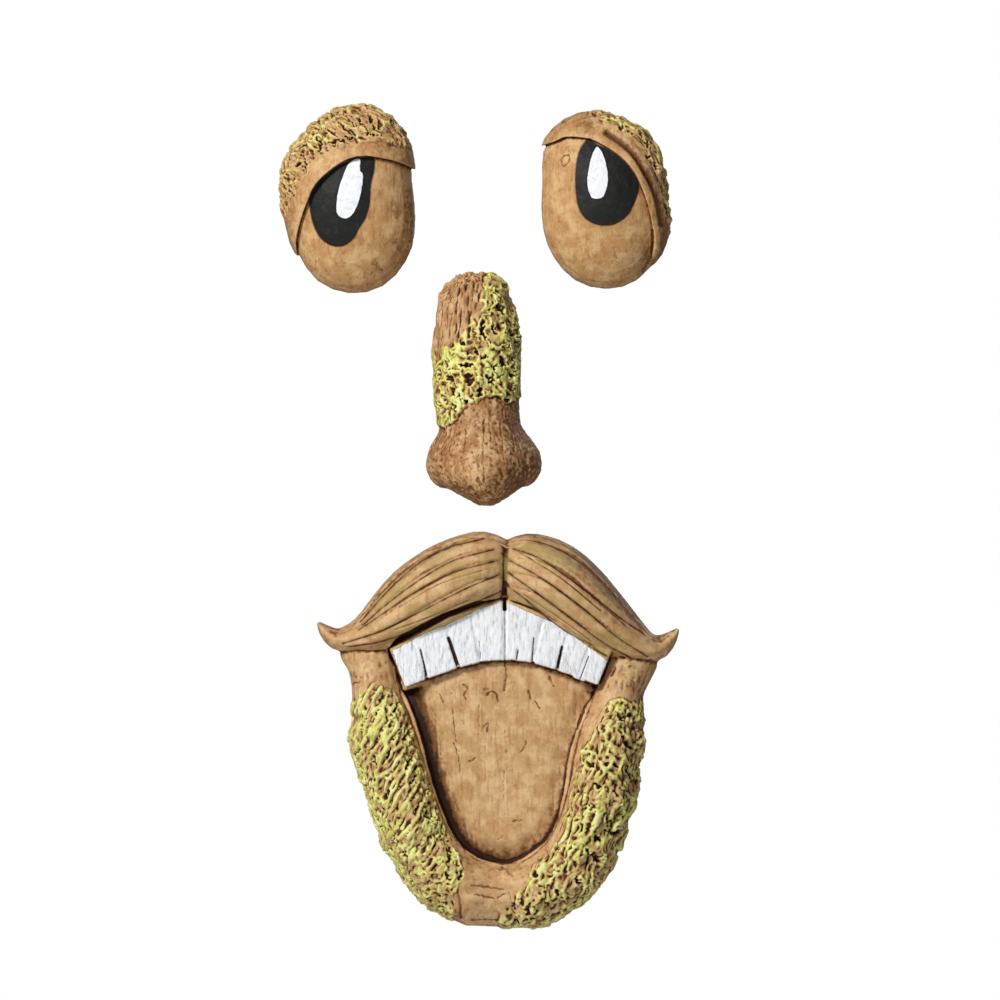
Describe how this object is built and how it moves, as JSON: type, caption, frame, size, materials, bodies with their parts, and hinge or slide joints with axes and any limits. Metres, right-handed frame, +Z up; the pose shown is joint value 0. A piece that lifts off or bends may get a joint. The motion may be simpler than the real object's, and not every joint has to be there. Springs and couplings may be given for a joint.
{
  "type": "tree face sculpture",
  "caption": "Old-man tree face in painted resin: heavy-lidded eyes, a bark-covered nose and a laughing mouth under a moustache, each flat-backed to hang on a tree trunk.",
  "frame": {"origin": "middle of the nose's flat back, on the trunk plane", "axes": "+Z up the trunk, the face looks towards -Y, +X to the right of the picture"},
  "size_m": [0.1799, 0.036, 0.3716],
  "materials": {
    "eye_resin": "cast resin, painted tan with a dark wash, black and white pupils, green moss on the lids, satin",
    "nose_resin": "cast resin, painted tan and brown with a dark wash and green moss on the bark, satin",
    "mouth_resin": "cast resin, painted tan with a dark wash, scratchy white teeth and green moss on the lips, satin"
  },
  "bodies": {
    "root": {"left_eye": "eye_resin", "right_eye": "eye_resin", "nose": "nose_resin", "mouth": "mouth_resin"}
  },
  "joints": []
}
